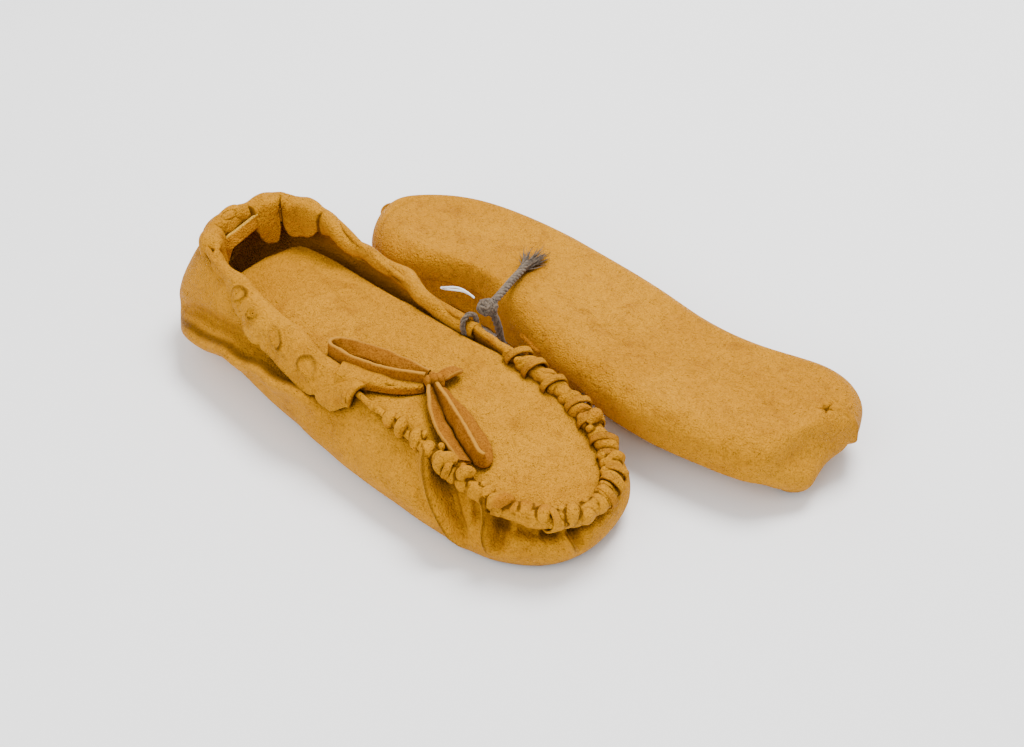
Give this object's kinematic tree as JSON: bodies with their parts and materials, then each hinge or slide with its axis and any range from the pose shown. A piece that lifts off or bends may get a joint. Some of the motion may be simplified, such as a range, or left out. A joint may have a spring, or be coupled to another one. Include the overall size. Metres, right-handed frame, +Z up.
{
  "type": "moccasin pair",
  "caption": "Pair of soft hide moccasins tied together with yarn: one upright with a tongue, gathered toe seam and laced bow, the other lying sole up beside it.",
  "frame": {"origin": "middle of the pair's footprint, on the surface it stands on", "axes": "+X from the upright shoe's heel to its toe, +Y from the upright shoe towards the inverted one, +Z up"},
  "size_m": [0.2832, 0.1822, 0.0506],
  "materials": {
    "hide": "soft golden-tan smoke-tanned hide, fine grain, slightly waxy",
    "suede_lace": "rough flesh side of the hide, orange-brown",
    "lacing": "cut hide lace, gathered and puckered",
    "yarn": "plied grey-brown wool yarn, fuzzy",
    "tag_plastic": "thin translucent white filament"
  },
  "bodies": {
    "left_shoe": {"left_bottom": "hide", "left_vamp": "hide", "left_collar": "hide", "left_cuff": "hide", "left_heel_flap": "hide", "left_drawstring": "suede_lace", "left_toe_lacing": "lacing", "left_heel_lacing": "lacing", "left_bow_knot": "suede_lace", "left_lace_stub": "suede_lace", "left_lace_lead": "suede_lace", "left_stop_knot": "lacing", "yarn_loop": "yarn", "tag_filament": "tag_plastic", "tag_bar": "tag_plastic"},
    "left_tongue": {"left_tongue": "hide"},
    "left_bow_loop_back": {"left_bow_loop_back": "suede_lace"},
    "left_bow_loop_front": {"left_bow_loop_front": "suede_lace"},
    "left_lace_end": {"left_lace_end_front": "suede_lace"},
    "right_shoe": {"right_bottom": "hide", "right_vamp": "hide", "right_collar": "hide", "right_cuff": "hide", "right_heel_flap": "hide", "right_drawstring": "suede_lace", "right_toe_lacing": "lacing", "right_heel_lacing": "lacing", "right_bow_knot": "suede_lace", "right_lace_stub": "suede_lace", "right_lace_lead": "suede_lace", "right_stop_knot": "lacing", "yarn_knot": "yarn", "yarn_strand": "yarn"},
    "right_tongue": {"right_tongue": "hide"},
    "right_bow_loop_back": {"right_bow_loop_back": "suede_lace"},
    "right_bow_loop_front": {"right_bow_loop_front": "suede_lace"},
    "right_lace_end": {"right_lace_end_front": "suede_lace"},
    "yarn_tail": {"yarn_tail": "yarn", "yarn_tuft": "yarn"}
  },
  "joints": [
    {"name": "left_tongue_lift", "type": "hinge", "parent": "left_shoe", "child": "left_tongue", "pos_m": [-0.035, -0.042, 0.03792], "axis": [0, 1, 0], "range_deg": [0, 60]},
    {"name": "left_bow_loop_back_lift", "type": "hinge", "parent": "left_shoe", "child": "left_bow_loop_back", "pos_m": [0.01488, -0.046, 0.03804], "axis": [-0.309, 0.9511, 0], "range_deg": [0, 50]},
    {"name": "left_bow_loop_front_lift", "type": "hinge", "parent": "left_shoe", "child": "left_bow_loop_front", "pos_m": [0.01488, -0.046, 0.03804], "axis": [-0.1736, -0.9848, 0], "range_deg": [0, 50]},
    {"name": "left_lace_end_lift", "type": "hinge", "parent": "left_shoe", "child": "left_lace_end", "pos_m": [0.01488, -0.046, 0.03804], "axis": [-0.3584, -0.9336, 0], "range_deg": [0, 50]},
    {"name": "right_tongue_lift", "type": "hinge", "parent": "right_shoe", "child": "right_tongue", "pos_m": [-0.00225, 0.04809, 0.00936], "axis": [0.1547, -0.988, 0], "range_deg": [0, 60]},
    {"name": "right_bow_loop_back_lift", "type": "hinge", "parent": "right_shoe", "child": "right_bow_loop_back", "pos_m": [0.04872, 0.04595, 0.00612], "axis": [-0.1582, -0.9874, 0], "range_deg": [0, 50]},
    {"name": "right_bow_loop_front_lift", "type": "hinge", "parent": "right_shoe", "child": "right_bow_loop_front", "pos_m": [0.04872, 0.04595, 0.00612], "axis": [-0.3239, 0.9461, 0], "range_deg": [0, 50]},
    {"name": "right_lace_end_lift", "type": "hinge", "parent": "right_shoe", "child": "right_lace_end", "pos_m": [0.04872, 0.04595, 0.00612], "axis": [-0.4985, 0.8669, 0], "range_deg": [0, 50]},
    {"name": "pair_fold", "type": "hinge", "parent": "left_shoe", "child": "right_shoe", "pos_m": [-0.008, 0.0028, 0.041], "axis": [1, 0, 0], "range_deg": [0, 90]},
    {"name": "yarn_tail_swing", "type": "hinge", "parent": "right_shoe", "child": "yarn_tail", "pos_m": [-0.008, 0.0028, 0.041], "axis": [0, 0, 1], "range_deg": [-20, 25]}
  ]
}
